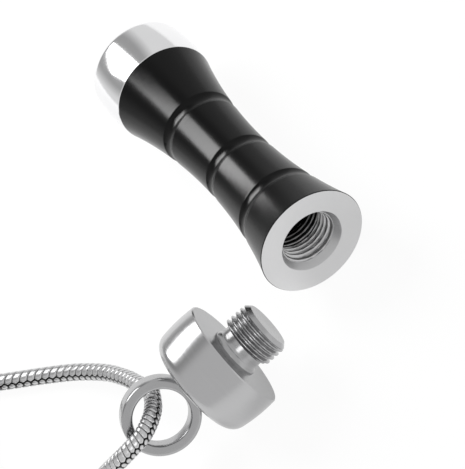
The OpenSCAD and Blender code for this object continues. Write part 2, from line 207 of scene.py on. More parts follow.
brightThread = turnedMetal("brightThread", {
    **bareMetal, "roughness": (0.18, 0.26), "dark": (0.33, 0.33, 0.335), "light": (0.48, 0.48, 0.485),
    "marksPerMm": 11.0, "marksRound": 1.4, "cloudScale": 260.0, "bump": 0.06,
})
# the mouth's thread carries painted shade, darkening deeper into the bore
mouthThread = turnedMetal("mouthThread", {
    **bareMetal, "roughness": (0.36, 0.46), "dark": (0.60, 0.60, 0.605), "light": (0.70, 0.70, 0.705),
    "marksPerMm": 11.0, "marksRound": 1.4, "cloudScale": 260.0, "bump": 0.05,
    "paintedShade": (0.12, 0.12, 0.12), "paintedShadeAt": (36.6, 39.2),
})
leadSteel = turnedMetal("leadSteel", {
    **bareMetal, "roughness": (0.38, 0.48), "dark": (0.54, 0.54, 0.545), "light": (0.62, 0.62, 0.625),
    "marksPerMm": 11.0, "marksRound": 1.4, "cloudScale": 260.0, "bump": 0.05,
})
# painted reflection: a darker copy of the turned steel for the cap's face and the stud's end, standing in for
# the dark barrel and its shadow mirrored in them
paintedReflectionSteel = turnedMetal("paintedReflectionSteel", {
    **bareMetal, "roughness": (0.20, 0.28), "dark": (0.27, 0.27, 0.275), "light": (0.34, 0.34, 0.345),
    "marksPerMm": 12.0, "marksRound": 1.2, "cloudScale": 240.0, "bump": 0.06,
})
# painted shade: the chamber's steel is darkened to stand for the shade deep inside the bore
deepBore = turnedMetal("deepBore", {
    **bareMetal, "roughness": (0.35, 0.5), "dark": (0.10, 0.10, 0.10), "light": (0.18, 0.18, 0.18),
    "marksPerMm": 8.0, "marksRound": 1.2, "cloudScale": 220.0, "bump": 0.10, "bumpDepth": 0.00003,
})
print("turned finishes ready")

meshing = {"sharp": 35.0, "smoothAll": 180.0, "sameWithin": 1e-8, "thinUnder": 1e-9}  # degrees, m


# a surface on a grid: row i, column j, closed round the columns and, where asked, round the rows, with UV
# in mm along and turns round; points that fall together are merged and the faces turned outwards
def gridPiece(name, points, along, closedRows, materials, rowMaterial=None,
              sharp=meshing["sharp"], turns=None):
    rows, columns = points.shape[:2]
    index = np.arange(rows * columns).reshape(rows, columns)
    low = index if closedRows else index[:-1]
    high = np.roll(index, -1, 0) if closedRows else index[1:]
    quads = np.stack([low, np.roll(low, -1, 1), np.roll(high, -1, 1), high], -1).reshape(-1, 4)
    step = np.arange(columns) / columns if turns is None else turns
    nextStep = np.append(step[1:], step[0] + 1)
    alongLow = along if closedRows else along[:-1]
    alongHigh = np.append(along[1:], 2 * along[-1] - along[-2]) if closedRows else along[1:]
    u = np.stack([alongLow, alongLow, alongHigh, alongHigh], -1)[:, None, :] + np.zeros((1, columns, 1))
    v = np.stack([step, nextStep, nextStep, step], -1)[None] + np.zeros((len(low), 1, 1))
    mesh = bpy.data.meshes.new(name)
    mesh.from_pydata((points.reshape(-1, 3) * mm).tolist(), [], quads.tolist())
    layer = mesh.uv_layers.new(name="outline")
    layer.data.foreach_set("uv", np.stack([u, v], -1).astype(np.float32).ravel())
    for material in materials:
        mesh.materials.append(material)
    if rowMaterial is not None:
        slots = np.repeat(np.asarray(rowMaterial)[:len(low)], columns)
        mesh.polygons.foreach_set("material_index", slots.astype(np.int32))
    shell = bmesh.new()
    shell.from_mesh(mesh)
    bmesh.ops.remove_doubles(shell, verts=shell.verts, dist=meshing["sameWithin"])
    bmesh.ops.dissolve_degenerate(shell, edges=shell.edges, dist=meshing["thinUnder"])
    bmesh.ops.recalc_face_normals(shell, faces=shell.faces)
    shell.to_mesh(mesh)
    shell.free()
    mesh.shade_smooth()
    mesh.set_sharp_from_angle(angle=np.radians(sharp))
    piece = bpy.data.objects.new(name, mesh)
    scene.collection.objects.link(piece)
    return piece


# distance along an outline: the running sum of the steps between its points
def outlineLength(outline):
    return np.concatenate([[0.0], np.cumsum(np.hypot(*np.diff(outline, axis=0).T))])


# arc: middle plus radius times cosine and sine of evenly spaced turns
def arcPoints(middle, radius, fromDeg, toDeg, count):
    turn = np.radians(np.linspace(fromDeg, toDeg, count))
    return np.stack([middle[0] + radius * np.cos(turn), middle[1] + radius * np.sin(turn)], -1)


# straight line: evenly growing shares of its end
def lineTo(start, end, count):
    share = np.linspace(0.0, 1.0, count)[:, None]
    return np.asarray(start) * (1 - share) + np.asarray(end) * share


# smooth step from 0 to 1: three squares less two cubes
def ease(x):
    t = np.clip(x, 0.0, 1.0)
    return t * t * (3 - 2 * t)


# evenly spaced turns round an axis, in radians
def roundTurns(count):
    return 2 * np.pi * np.arange(count) / count


# revolved surface: radius and place along the axis for each row and column, carried round origin and axis
def revolve(radius, reach, origin, axis, side, up):
    turn = roundTurns(radius.shape[1])
    outward = np.cos(turn)[:, None] * np.asarray(side) + np.sin(turn)[:, None] * np.asarray(up)
    return np.asarray(origin) + reach[..., None] * np.asarray(axis) + radius[..., None] * outward[None]


# one outline of place and radius, the same all round
def spin(outline, columns):
    return np.repeat(outline[:, 1:], columns, 1), np.repeat(outline[:, :1], columns, 1)


# thread: reach is from the cap's face and turn about the stud's axis; land is the mouth's smallest radius
# against depth, shallow at the start and clear of the stud's smooth tip further in
thread = {
    "crest": 3.0, "root": 2.63, "pitch": 0.6, "firstCrest": 1.65, "flat": 0.14, "play": 0.06,
    "land": ((0.8, 2.96), (1.4, 2.84), (1.9, 2.72), (3.3, 2.72), (3.65, 2.955)),
}


# right-handed ridge: a triangle wave of reach over pitch less the turn, cut flat at crest and root
def threadRadius(reach, turn):
    phase = (reach - thread["firstCrest"]) / thread["pitch"] - turn / (2 * np.pi) + 0.5
    ridge = 1 - np.abs(2 * (phase - np.floor(phase)) - 1)
    ridge = np.clip((ridge - thread["flat"]) / (1 - 2 * thread["flat"]), 0.0, 1.0)
    return thread["root"] + (thread["crest"] - thread["root"]) * ridge


# barrel, measured back from the mouth in mm
barrel = {
    "mouth": (14.2, 10.65, 6.0), "length": 30.7, "rim": 6.0, "waist": 4.0, "waistAt": 15.8, "chamfer": 0.08,
    "grooves": (22.2, 13.9, 6.1), "grooveRadius": 1.6, "grooveDepth": 0.2, "grooveHalf": 1.1, "edge": 0.012,
    "leadIn": (3.5, 0.8), "leadEnd": 3.02, "leadBreak": 0.03, "threadFrom": 0.06, "threadEnd": 5.6,
    "threadOut": (0.1, 0.3), "chamber": 3.1, "seat": (4.0, 27.9), "closedGap": 0.05,
    "columns": 144, "skinRows": 90, "grooveRows": 45, "faceRows": 12, "leadRows": 8, "screwRows": 110,
    "chamberRows": 12, "paintedHighlightRows": 3,
}
alongX = ((1, 0, 0), (0, 1, 0), (0, 0, 1))  # axis, side and up of the pieces that lie along x


# waist: an arc through the rim, lowest at waistAt
def waistLine(b, back):
    arc = (b["waistAt"] ** 2 + (b["rim"] - b["waist"]) ** 2) / (2 * (b["rim"] - b["waist"]))
    return b["waist"] + arc - np.sqrt(arc ** 2 - (back - b["waistAt"]) ** 2)


# outside: the waist's arc, with each round-bottomed groove joined by a smooth minimum that eases its edges
def barrelSkin(b):
    grooveLine = np.linspace(-b["grooveHalf"], b["grooveHalf"], b["grooveRows"])
    near = np.concatenate([g + grooveLine for g in b["grooves"]])
    back = np.unique(np.concatenate([np.linspace(b["length"], b["chamfer"], b["skinRows"]), near]))[::-1]
    skin = waistLine(b, back)
    for g in b["grooves"]:
        dip = np.sqrt(np.maximum(b["grooveRadius"] ** 2 - (back - g) ** 2, 0.0))
        floor = waistLine(b, np.array(g)) + b["grooveRadius"] - b["grooveDepth"] - dip
        floor = np.where(dip > 0, floor, skin + b["grooveRadius"])
        skin = -b["edge"] * np.logaddexp(-skin / b["edge"], -floor / b["edge"])
    return np.stack([back, skin], -1)


# barrel: one closed outline of place and radius, revolved; the thread's rows have no radius of their own
# there and take the larger of the stud's thread with play and the land
def makeBarrel(b):
    outside = barrelSkin(b)
    leadRadius, leadDepth = b["leadIn"]
    face = lineTo((0.0, b["rim"] - b["chamfer"]), (0.0, leadRadius + b["leadBreak"]), b["faceRows"])
    lead = lineTo((b["leadBreak"], leadRadius), (leadDepth, b["leadEnd"]), b["leadRows"])
    lead = np.concatenate([lead, thread["land"][:1]])
    screw = np.linspace(leadDepth + b["threadFrom"], b["threadEnd"], b["screwRows"])
    screw = np.stack([screw, np.full(len(screw), np.nan)], -1)
    runOut, hollowFrom = [(b["threadEnd"] + out, b["chamber"]) for out in b["threadOut"]]
    seatRadius, seatAt = b["seat"]
    hollow = lineTo(hollowFrom, (seatAt, b["chamber"]), b["chamberRows"])
    hollow = np.concatenate([[runOut], hollow])
    seat = np.array([(seatAt, seatRadius), (b["length"], seatRadius)])
    stretches = (outside, face, lead, screw, hollow, seat)
    finishes = [satinBlack, cutSteel, leadSteel, mouthThread, deepBore]
    outline = np.concatenate(stretches)
    kinds = np.repeat([0, 1, 2, 3, 4, 4], [len(stretch) for stretch in stretches])
    screwEnd = len(outline) - len(seat) - len(hollow)
    # painted highlight: the thread's last rows take the lead's brighter steel, free of the painted shade, as
    # a lit edge
    kinds[screwEnd - b["paintedHighlightRows"]:screwEnd] = finishes.index(leadSteel)  # the thread's last edge is bright
    radius, back = spin(outline, b["columns"])
    turn = roundTurns(b["columns"])[None]
    cut = threadRadius(b["closedGap"] + outline[:, :1], np.pi - turn) + thread["play"]
    land = np.interp(outline[:, :1], *np.array(thread["land"]).T)
    radius = np.where(np.isnan(radius), np.maximum(cut, land), radius)
    points = revolve(radius, -back, b["mouth"], *alongX)
    flatOutline = np.where(np.isnan(outline), thread["crest"], outline)
    return gridPiece("barrelShell", points, outlineLength(flatOutline), True, finishes, kinds)


barrelShell = makeBarrel(barrel)
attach(barrelShell, "barrel")
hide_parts("barrel")
print("barrel made")

domeRows = {"side": 18, "bend": 24, "crown": 24}


# domed end, base to crown: a full side arc, a round shoulder and a shallow dome, each tangent to the next
def domedOutline(form, start):
    sideArc, shoulder, dome = form["sideArc"], form["shoulder"], form["dome"]
    sideMid = form["full"] - sideArc
    rise = form["shoulderAt"] - form["fullAt"]
    inner = sideMid + np.sqrt((sideArc - shoulder) ** 2 - rise ** 2)
    domeMid = form["shoulderAt"] - np.sqrt((dome - shoulder) ** 2 - inner ** 2)
    startTurn = np.degrees(np.arccos((start - form["fullAt"]) / sideArc))
    sideTurn = np.degrees(np.arctan2(inner - sideMid, rise))
    domeTurn = np.degrees(np.arctan2(inner, form["shoulderAt"] - domeMid))
    side = arcPoints((form["fullAt"], sideMid), sideArc, startTurn, sideTurn, domeRows["side"])
    bend = arcPoints((form["shoulderAt"], inner), shoulder, sideTurn, domeTurn, domeRows["bend"])[1:]
    crown = arcPoints((domeMid, 0.0), dome, domeTurn, 0.0, domeRows["crown"])[1:]
    return np.concatenate([side, bend, crown])


# end plug, measured back from the barrel's end in mm
endPlug = {
    "full": 6.0, "fullAt": 3.0, "sideArc": 25.0, "shoulder": 1.3, "shoulderAt": 5.2, "dome": 30.0,
    "edge": 0.05, "neck": 3.9, "neckReach": 0.02, "seatRadius": 5.5, "columns": 144,
}


# end plug: the domed outline behind a short closed neck, revolved about the barrel's axis
def makeEndPlug(p):
    domed = domedOutline(p, p["edge"])
    neck = [(-p["neckReach"], 0.0), (-p["neckReach"], p["neck"])]
    seat = [(0.0, p["seatRadius"]), (0.0, domed[0, 1] - p["edge"])]
    outline = np.concatenate([neck, seat, domed])
    radius, back = spin(outline, p["columns"])
    points = revolve(radius, -barrel["length"] - back, barrel["mouth"], *alongX)
    return gridPiece("endPlugShell", points, outlineLength(outline), False, [mirrorSteel])


endPlugShell = makeEndPlug(endPlug)
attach(endPlugShell, "barrel")
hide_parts("end_plug")
print("end plug made")

# cap, measured back from its face in mm
cap = {
    "face": (17.07, -2.82, 6.28), "turn": 82.1, "full": 6.28, "fullAt": 1.6, "sideArc": 17.0, "chamfer": 0.12,
    "shoulder": 1.5, "shoulderAt": 4.0, "dome": 30.0, "columns": 144, "faceRows": 20, "sharp": 30.0,
}
capAxis = np.array([np.cos(np.radians(cap["turn"])), np.sin(np.radians(cap["turn"])), 0.0])
capUp = np.array([0.0, 0.0, 1.0])
capSide = np.cross(capUp, capAxis)


# cap: the domed outline behind a flat face with a small chamfer, revolved about the cap's axis
def makeCap(c):
    domed = domedOutline(c, c["chamfer"])
    face = lineTo((0.0, 0.0), (0.0, domed[0, 1] - c["chamfer"]), c["faceRows"])
    outline = np.concatenate([face, domed])
    radius, back = spin(outline, c["columns"])
    points = revolve(radius, -back, c["face"], capAxis, capSide, capUp)
    # the face's rows take the darker steel of painted reflection
    kinds = np.repeat([1, 0], [len(face) - 1, len(domed) + 1])
    finishes = [softSteel, paintedReflectionSteel]
    return gridPiece("capShell", points, outlineLength(outline), False, finishes, kinds, c["sharp"])


capShell = makeCap(cap)
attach(capShell, "cap")
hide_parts("screw_cap")
print("cap made")

# stud: foot is place and radius of the collar and the neck, from inside the cap outwards, in mm
stud = {
    "foot": (
        (-0.4, 0.0), (-0.4, 2.75), (0.0, 2.75), (0.12, 2.75), (0.45, 2.6),
        (0.52, 2.49), (0.6, 2.45), (1.0, 2.45), (1.45, 2.45),
    ),
    "length": 4.5, "neck": 2.45, "neckEnd": 1.5, "runIn": 0.12, "runOut": (3.85, 0.25),
    "coneFrom": 4.05, "full": 2.93, "tip": 2.5, "tipBreak": 0.06, "tipDish": 0.05,
    "columns": 144, "screwRows": 96, "tipRows": 8,
}


# stud: foot, then the thread eased in from the neck and out to a smooth band, which a cone cuts, then the end
def makeStud(s):
    screw = np.linspace(s["neckEnd"], s["length"], s["screwRows"])
    screw = np.stack([screw, np.full(len(screw), np.nan)], -1)
    end = lineTo((s["length"], s["tip"] - s["tipBreak"]), (s["length"] - s["tipDish"], 0.0), s["tipRows"])
    outline = np.concatenate([s["foot"], screw, end])
    radius, reach = spin(outline, s["columns"])
    turn = roundTurns(s["columns"])[None]
    outFrom, outOver = s["runOut"]
    cut = threadRadius(reach, turn)
    cut = cut + (s["full"] - cut) * ease((reach - outFrom) / outOver)
    cut = s["neck"] + (cut - s["neck"]) * ease((reach - s["neckEnd"]) / s["runIn"])
    taper = (reach - s["coneFrom"]) / (s["length"] - s["coneFrom"])
    cone = s["full"] - (s["full"] - s["tip"]) * taper
    cut = np.where(taper > 0, np.minimum(cut, cone), cut)
    radius = np.where(np.isnan(radius), cut, radius)
    points = revolve(radius, reach, cap["face"], capAxis, capSide, capUp)
    flatOutline = np.where(np.isnan(outline), thread["crest"], outline)
    # the end's rows take the darker steel of painted reflection
    kinds = np.repeat([0, 1], [len(outline) - len(end), len(end)])
    finishes = [brightThread, paintedReflectionSteel]
    return gridPiece("studShell", points, outlineLength(flatOutline), False, finishes, kinds)


studShell = makeStud(stud)
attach(studShell, "cap")
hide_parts("threaded_stud")
print("stud made")

# ring on the crown; back and off place its middle from the cap's face and axis, in mm
ring = {
    "outer": 4.15, "hole": 2.95, "thick": 2.2, "power": 4.5, "around": 56, "back": 9.853, "off": 0.27,
    "roll": 62.0, "yaw": 8.0, "columns": 120,
}


# ring's middle and its three ways: the cap's up way rolled about the cap's axis, then yawed towards it
def ringFrame(r):
    roll, yaw = np.radians(r["roll"]), np.radians(r["yaw"])
    lean = np.cos(roll) * capUp - np.sin(roll) * capSide
    axis = np.cos(yaw) * lean + np.sin(yaw) * capAxis
    first = np.cos(yaw) * capAxis - np.sin(yaw) * lean
    second = np.cross(axis, first)
    return np.asarray(cap["face"]) - r["back"] * capAxis + r["off"] * second, axis, first, second


# ring: a softened rectangle (superellipse) carried round the ring's own axis
def makeRing(r):
    turn = roundTurns(r["around"])
    waves = np.stack([np.cos(turn), np.sin(turn)])
    across, outward = np.sign(waves) * np.abs(waves) ** (2 / r["power"])
    radiusAt = (r["outer"] + r["hole"]) / 2 + (r["outer"] - r["hole"]) / 2 * outward
    outline = np.stack([r["thick"] / 2 * across, radiusAt], -1)
    radius, reach = spin(outline, r["columns"])
    points = revolve(radius, reach, *ringFrame(r))
    along = outlineLength(outline)
    return gridPiece("ringShell", points, along, True, [ringSteel], sharp=meshing["smoothAll"])


ringShell = makeRing(ring)
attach(ringShell, "cap")
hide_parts("chain_ring")
print("ring made")


# snake chain, in mm: two broad rows of plates and, between them, two narrow rows of beads half a plate on;
# a pitch and its reach say how long the plates are at first and later, and between which lengths they grow.
# broadTurn is where a broad row's middle lies in degrees, slant how far its plates lean, bead the half length
# and half width of a bead, and dent the depth of a gap; plates are finely cut as far as the fine lengths
chain = {
    "diameter": 1.9, "leftPitch": (0.72, 1.05), "leftReach": (1.0, 14.0), "leftFine": 36.0,
    "frontPitch": (0.5, 0.74), "frontReach": (3.0, 9.0), "frontFine": 30.0,
    "plate": 0.9, "broadTurn": 100.0, "broadHalf": 1 / 3,
    "wave": 0.035, "slant": -1.0, "bead": (0.46, 0.155), "dent": 0.11, "soften": 0.14, "inset": 0.015,
    "ringsFine": 16, "ringsCoarse": (-0.5, -0.36, -0.12, 0.12, 0.36), "spacing": 0.05, "cordEvery": 4,
    "columnTurns": (0, 18, 34, 45, 53, 59, 65, 71, 80, 90, 100, 109, 115, 121, 127, 135, 146, 162),
    "meet": (14.9, -12.4, 7.4),
    "left": [
        (13.7, -12, 7), (12.2, -11.8, 6.4), (10.7, -12.1, 5.9), (8.9, -12.6, 5.2), (6.9, -13.1, 4.4),
        (5.1, -13.7, 3.7), (3.4, -14.3, 3), (1.5, -15.2, 2.4), (-0.1, -16.1, 1.9), (-1.8, -17.2, 1.5),
        (-3.3, -18.3, 1.2), (-4.9, -19.7, 1.05), (-6.4, -21.1, 0.97), (-7.9, -22.6, 0.97),
        (-9.5, -24.2, 0.97), (-12.2, -26.8, 1.02), (-15, -29.6, 1.15), (-17.4, -32, 1.35),
    ],
    "front": [
        (15.9, -13, 7.8), (16.6, -13.8, 8), (17.3, -15.3, 8.2), (17.3, -16.6, 8.2), (17.1, -17.8, 8),
        (16.5, -19, 7.4), (15.6, -20.2, 6.5), (14.3, -21.4, 5.1), (12.8, -22.6, 3.5), (11.5, -23.8, 2.3),
        (10.5, -25.1, 1.6), (9.8, -26.6, 1.15), (9.5, -28.3, 0.97), (9.4, -30.2, 0.97), (9.4, -32.4, 1.05),
        (9.4, -34.6, 1.25), (9.4, -36.05, 1.4), (9.4, -39, 1.4),
    ],
}
# coil, in mm, turns and degrees: the radius of its outer turn, the pitch between turns and a layer's rise
coil = {
    "middle": (-11.6, -44.4), "radius": 12.9, "turns": 3.015, "pitch": 2.4, "low": 1.4, "rise": 2.55,
    "climb": 0.5, "tailStep": 2.9, "tailTurns": 0.345, "from": 135.0, "perTurn": 48, "lead": 1.9,
    "straight": 2.95,
}


# coil: spirals in on the table, climbs a layer over part of a turn, spirals out on top and comes down to the
# clasp; the radius shrinks and grows by a pitch a turn, and both ends run on straight
def coilRoute(c):
    last = 2 * c["turns"] + c["tailTurns"]
    turn = np.linspace(0.0, last, int(last * c["perTurn"]))
    past = ease((turn - 2 * c["turns"]) / c["tailTurns"])
    radius = c["radius"] - c["pitch"] * (c["turns"] - np.abs(turn - c["turns"])) + c["tailStep"] * past
    height = c["low"] + c["rise"] * (ease((turn - c["turns"] + c["climb"] / 2) / c["climb"]) - past)
    angle = np.radians(c["from"] + 360 * turn)
    x, y = c["middle"][0] + radius * np.cos(angle), c["middle"][1] + radius * np.sin(angle)
    points = np.stack([x, y, height], -1)
    inWay = np.array([-np.sin(angle[0]), np.cos(angle[0]), 0.0])
    outWay = np.array([-np.sin(angle[-1]), np.cos(angle[-1]), 0.0])
    return np.concatenate([[points[0] - c["lead"] * inWay], points, [points[-1] + c["straight"] * outWay]])


# smooth line through points: cubic pieces with tangents from the neighbours, spaced by distance
def smoothLine(points, spacing):
    knot = np.concatenate([[0.0], np.cumsum(np.linalg.norm(np.diff(points, axis=0), axis=1))])
    slope = np.gradient(points, knot, axis=0)
    at = np.linspace(0.0, knot[-1], int(knot[-1] / spacing) + 1)
    cell = np.clip(np.searchsorted(knot, at, side="right") - 1, 0, len(knot) - 2)
    span = (knot[cell + 1] - knot[cell])[:, None]
    t = ((at - knot[cell])[:, None]) / span
    return ((2 * t ** 3 - 3 * t ** 2 + 1) * points[cell] + (t ** 3 - 2 * t ** 2 + t) * span * slope[cell]
            + (3 * t ** 2 - 2 * t ** 3) * points[cell + 1] + (t ** 3 - t ** 2) * span * slope[cell + 1])


# distance in mm from the nearest gap: u counts plates along, v is the share of a turn round the chain;
# the half turn is folded so that 0 is the middle of a broad row and 0.5 the middle of a bead row
def plateGap(u, v):
    folded = 2 * v - chain["broadTurn"] / 180
    folded = folded - np.round(folded)
    along = u + chain["slant"] * folded
    crossing = chain["broadHalf"] + chain["wave"] * np.cos(2 * np.pi * along) - np.abs(folded)
    toGap = 0.5 - np.abs(along - np.round(along))
    plate = np.minimum(toGap * chain["plate"], crossing * np.pi * chain["diameter"] / 2)
    beadLong, beadWide = chain["bead"]
    beadWay = np.hypot(toGap / beadLong, (0.5 - np.abs(folded)) / beadWide)
    return np.maximum(plate, (1 - beadWay) * chain["plate"] * beadLong / 2)


# chain: rings round the path, many to a plate as far as fineTo and a few after it, each point drawn in near
# a gap; start is 1 or -1, the way the plates are counted and laid
def makeChain(name, path, start, fineTo, pitches, reach, material):
    step = np.linalg.norm(np.diff(path, axis=0), axis=1)
    length = np.concatenate([[0.0], np.cumsum(step)])
    pitch = pitches[0] + (pitches[1] - pitches[0]) * ease((length - reach[0]) / (reach[1] - reach[0]))
    count = np.concatenate([[0.0], np.cumsum(step / pitch[1:])])
    fineCount = np.interp(fineTo, length, count)
    fine = np.arange(0.0, fineCount, 1 / chain["ringsFine"])
    plates = np.arange(np.ceil(fineCount) + 1, count[-1] - 1)
    coarse = (plates[:, None] + np.array(chain["ringsCoarse"])).ravel()
    counted = np.concatenate([fine, coarse, [count[-1]]])
    at = np.interp(counted, count, length)
    line = np.stack([np.interp(at, length, path[:, k]) for k in range(3)], -1)
    way = np.gradient(line, at, axis=0)
    way = way / np.linalg.norm(way, axis=1)[:, None]
    side = np.cross(way, (0, 0, 1))
    side = side / np.linalg.norm(side, axis=1)[:, None]
    up = np.cross(side, way)
    half = np.array(chain["columnTurns"]) + chain["broadTurn"]
    share = np.concatenate([half, half + 180]) / 360
    u = (start * counted)[:, None] + 0 * share[None]
    depth = 1 - ease(plateGap(u, share[None] + 0 * u) / chain["soften"])
    radius = chain["diameter"] / 2 - chain["dent"] * depth - chain["inset"]
    turn = 2 * np.pi * share
    outward = np.cos(turn)[None, :, None] * side[:, None] * start + np.sin(turn)[None, :, None] * up[:, None]
    points = line[:, None] + radius[..., None] * outward
    ends = [np.repeat(line[k][None], len(share), 0)[None] for k in (0, -1)]
    points = np.concatenate([ends[0], points, ends[1]])
    along = np.concatenate([[u[0, 0]], u[:, 0], [u[-1, 0]]])
    piece = gridPiece(name, points, along, False, [material], sharp=meshing["smoothAll"], turns=share)
    return piece, line, length[-1]


# chain finish: plateGap's sums in nodes, from the UV; within a gap's width of a gap the steel darkens
def snakeSteel(name, look):
    material, tree, shader = newMaterial(name)
    shader.inputs["Metallic"].default_value = look["metallic"]
    uv = addNode(tree, "ShaderNodeUVMap", uv_map="outline")
    parts = addNode(tree, "ShaderNodeSeparateXYZ")
    tree.links.new(uv.outputs["UV"], parts.inputs["Vector"])
    halfTurns = mathNode(tree, "MULTIPLY", parts.outputs["Y"], 2.0)
    folded = mathNode(tree, "SUBTRACT", halfTurns, chain["broadTurn"] / 180)
    folded = mathNode(tree, "SUBTRACT", folded, mathNode(tree, "ROUND", folded))
    along = mathNode(tree, "ADD", parts.outputs["X"], mathNode(tree, "MULTIPLY", folded, chain["slant"]))
    wave = mathNode(tree, "COSINE", mathNode(tree, "MULTIPLY", along, 2 * np.pi))
    edge = mathNode(tree, "ADD", mathNode(tree, "MULTIPLY", wave, chain["wave"]), chain["broadHalf"])
    offRow = mathNode(tree, "ABSOLUTE", folded)
    crossing = mathNode(tree, "SUBTRACT", edge, offRow)
    crossing = mathNode(tree, "MULTIPLY", crossing, np.pi * chain["diameter"] / 2)
    offPlate = mathNode(tree, "SUBTRACT", along, mathNode(tree, "ROUND", along))
    toGap = mathNode(tree, "SUBTRACT", 0.5, mathNode(tree, "ABSOLUTE", offPlate))
    plate = mathNode(tree, "MINIMUM", mathNode(tree, "MULTIPLY", toGap, chain["plate"]), crossing)
    beadLong, beadWide = chain["bead"]
    offBead = mathNode(tree, "DIVIDE", toGap, beadLong)
    overBead = mathNode(tree, "DIVIDE", mathNode(tree, "SUBTRACT", 0.5, offRow), beadWide)
    squares = [mathNode(tree, "POWER", share, 2.0) for share in (offBead, overBead)]
    beadWay = mathNode(tree, "SQRT", mathNode(tree, "ADD", *squares))
    bead = mathNode(tree, "SUBTRACT", 1.0, beadWay)
    bead = mathNode(tree, "MULTIPLY", bead, chain["plate"] * beadLong / 2)
    nearest = mathNode(tree, "MAXIMUM", plate, bead)
    metal = spread(tree, nearest, 0.0, 1.0, *look["gap"])
    cloud = cloudNode(tree, look["cloudScale"], look["cloudDetail"])
    tone = mixColours(tree, cloud, look["dark"], look["light"])
    colour = mixColours(tree, metal, look["gapColour"], tone)
    finishShader(tree, shader, look, colour, cloud, metal)
    return material


chainSteel = snakeSteel("chainSteel", {
    "metallic": 1.0, "gap": (0.024, 0.06), "gapColour": (0.012, 0.012, 0.012),
    "dark": (0.56, 0.56, 0.565), "light": (0.68, 0.68, 0.685), "roughness": (0.26, 0.34),
    "cloudScale": 900.0, "cloudDetail": 3.0, "bump": 0.3, "bumpDepth": 0.00003,
})
leftRoute = np.array([chain["meet"], *chain["left"], *coilRoute(coil)], float)
frontRoute = np.array([chain["meet"], *chain["front"]], float)
leftChain, leftPath, leftLength = makeChain(
    "leftChain", smoothLine(leftRoute, chain["spacing"]), -1.0, chain["leftFine"],
    chain["leftPitch"], chain["leftReach"], chainSteel)
frontChain, frontPath, frontLength = makeChain(
    "frontChain", smoothLine(frontRoute, chain["spacing"]), 1.0, chain["frontFine"],
    chain["frontPitch"], chain["frontReach"], chainSteel)
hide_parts("chain_left_run", "chain_coil")
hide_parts("chain_front_run")
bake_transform(leftChain)
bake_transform(frontChain)
print("chain made:", round(leftLength + frontLength, 1), "mm")


# cast and tumbled metal: clouds on the object's coordinates choose tone, roughness and height
def tumbledMetal(name, look):
    material, tree, shader = newMaterial(name)
    shader.inputs["Metallic"].default_value = look["metallic"]
    cloud = cloudNode(tree, look["cloudScale"], look["cloudDetail"])
    tone = mixColours(tree, cloud, look["dark"], look["light"])
    finishShader(tree, shader, look, tone, cloud, cloud)
    return material


# the necklace's fittings keep their solids
fittingSteel = tumbledMetal("fittingSteel", {
    "metallic": 1.0, "dark": (0.60, 0.60, 0.605), "light": (0.74, 0.74, 0.745), "roughness": (0.16, 0.26),
    "cloudScale": 1500.0, "cloudDetail": 5.0, "bump": 0.08, "bumpDepth": 0.00002,
})
springSteel = tumbledMetal("springSteel", {
    "metallic": 1.0, "dark": (0.36, 0.36, 0.37), "light": (0.50, 0.50, 0.51), "roughness": (0.24, 0.34),
    "cloudScale": 2500.0, "cloudDetail": 5.0, "bump": 0.06, "bumpDepth": 0.00002,
})
tieBand = tumbledMetal("tieBand", {
    "metallic": 0.0, "dark": (0.03, 0.03, 0.032), "light": (0.06, 0.06, 0.063), "roughness": (0.55, 0.7),
    "cloudScale": 3000.0, "cloudDetail": 5.0, "bump": 0.25, "bumpDepth": 0.00005,
})
fittingFinish = {
    "clasp_end_cap": fittingSteel, "tail_end_cap": fittingSteel, "tail_ring": fittingSteel,
    "clasp_body": fittingSteel, "clasp_lever": fittingSteel, "clasp_pin": springSteel, "coil_tie": tieBand,
}
for nodeName, finish in fittingFinish.items():
    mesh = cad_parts[nodeName].data
    mesh.materials.clear()
    mesh.materials.append(finish)

# spring strip of the clasp, in mm and degrees round the pin; it stays at heldDeg and moves at pushedDeg
claspSpring = {
    "pin": (-2.01, -62.028, 1.4), "radius": (0.95, 1.1), "half": 0.5, "fromDeg": 2.0, "toDeg": 112.0,
    "rows": 40, "heldDeg": 100.0, "pushedDeg": 6.0,
}


# spring strip: a rectangle carried round the pin, drawn to a point at each end to close it
def makeSpring(c):
    turn = np.radians(np.linspace(c["fromDeg"], c["toDeg"], c["rows"]))
    turn = np.concatenate([turn[:1], turn, turn[-1:]])[:, None]
    inner, outer = c["radius"]
    radius = np.tile([inner, outer, outer, inner], (len(turn), 1))
    height = np.tile([-c["half"], -c["half"], c["half"], c["half"]], (len(turn), 1))
    radius[[0, -1]] = (inner + outer) / 2
    height[[0, -1]] = 0.0
    points = np.asarray(c["pin"]) + np.stack([radius * np.cos(turn), radius * np.sin(turn), height], -1)
    return gridPiece("springStrip", points, outer * turn[:, 0], False, [springSteel])


springStrip = makeSpring(claspSpring)
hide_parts("clasp_spring")
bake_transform(springStrip)
print("fittings finished")

# floor and world: lift and mirrorLift say how much of the floor is plain white to the camera and in mirrors;
# shade is the room's level round the softbox, between the cosines shadeFrom and shadeTo
studio = {
    "floor": 1.5, "drop": 0.00002, "albedo": 0.86, "paperRoughness": 0.9, "paperGloss": 0.1,
    "lift": 0.95, "mirrorLift": 0.7, "background": 1.0, "room": 0.78, "roomFill": 0.45,
    "shade": 0.36, "shadeFrom": 0.86, "shadeTo": 0.70, "aim": (0.005, 0.004, 0.006),
}
white = (1.0, 1.0, 1.0, 1.0)


# first shader where share is 0, second where it is 1, into the tree's output
def mixShaders(tree, share, first, second, output):
    mix = addNode(tree, "ShaderNodeMixShader")
    tree.links.new(share, mix.inputs["Fac"])
    tree.links.new(first, mix.inputs[1])
    tree.links.new(second, mix.inputs[2])
    tree.links.new(mix.outputs["Shader"], tree.nodes[output].inputs["Surface"])


